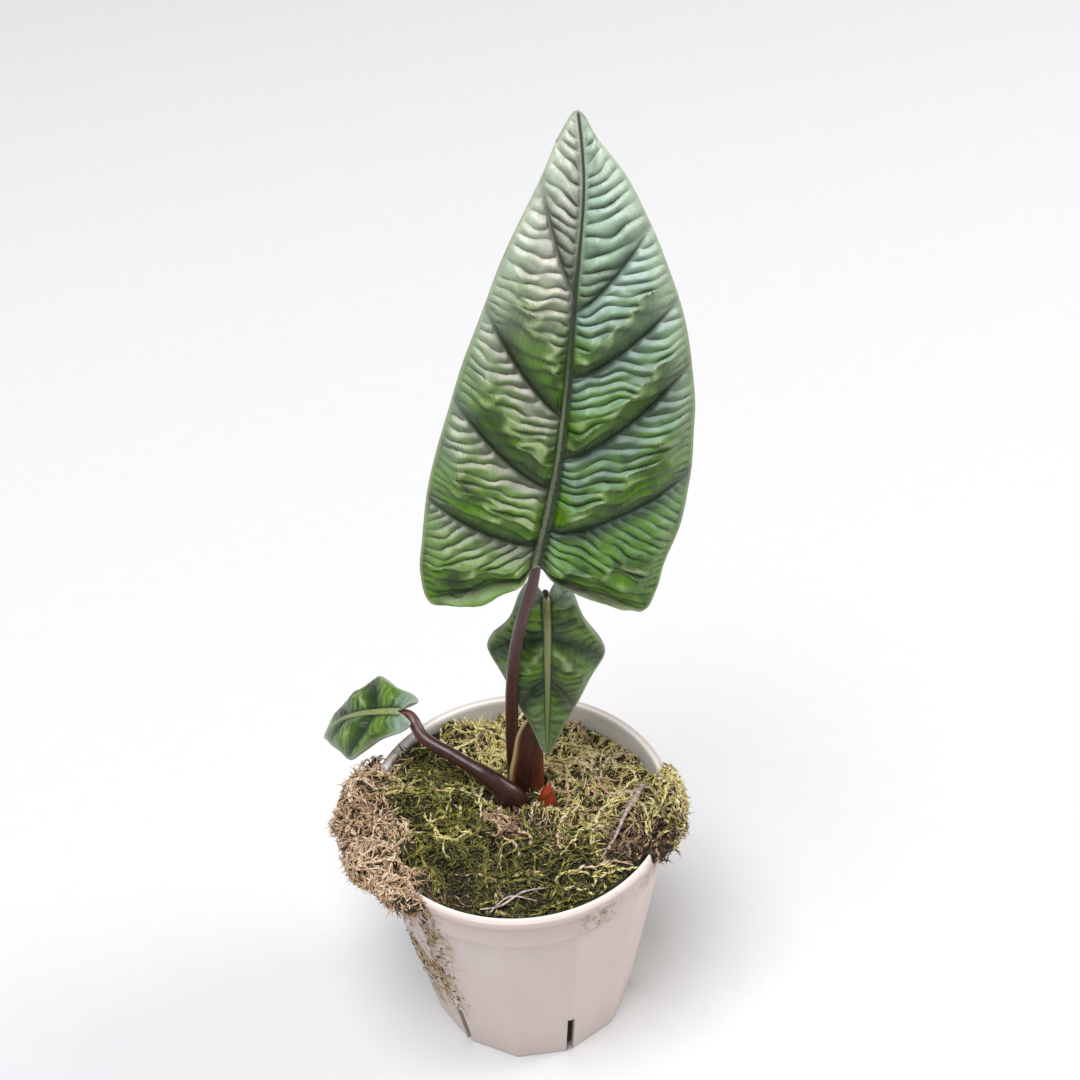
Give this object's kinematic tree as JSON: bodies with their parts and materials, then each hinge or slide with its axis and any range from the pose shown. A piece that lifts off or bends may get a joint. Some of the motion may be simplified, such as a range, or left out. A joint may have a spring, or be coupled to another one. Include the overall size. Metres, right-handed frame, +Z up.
{
  "type": "potted alocasia scalprum",
  "caption": "Young Alocasia scalprum with a tall quilted arrow-shaped leaf on a maroon stem, two small leaves and a shoot, in a white plastic nursery pot of sphagnum moss.",
  "frame": {"origin": "centre of the pot's flat base, on the surface that it stands on", "axes": "+Z up along the pot's axis, -Y towards the front that the main leaf faces, +X to the viewer's right"},
  "size_m": [0.1172, 0.095, 0.2993],
  "materials": {
    "pot_plastic": "satin white polypropylene, a little soiled by moss",
    "moss": "fibrous dry and green strands, fully matte",
    "corm": "rough brown skin",
    "petiole": "smooth waxy maroon",
    "shoot": "smooth orange brown",
    "blade": "waxy quilted green with a silvery sheen"
  },
  "bodies": {
    "root": {"pot": "pot_plastic", "moss": "moss", "corm": "corm", "main_petiole": "petiole", "small_petiole": "petiole", "third_petiole": "petiole", "new_shoot": "shoot", "main_blade": "blade", "small_blade": "blade", "third_blade": "blade"}
  },
  "joints": []
}
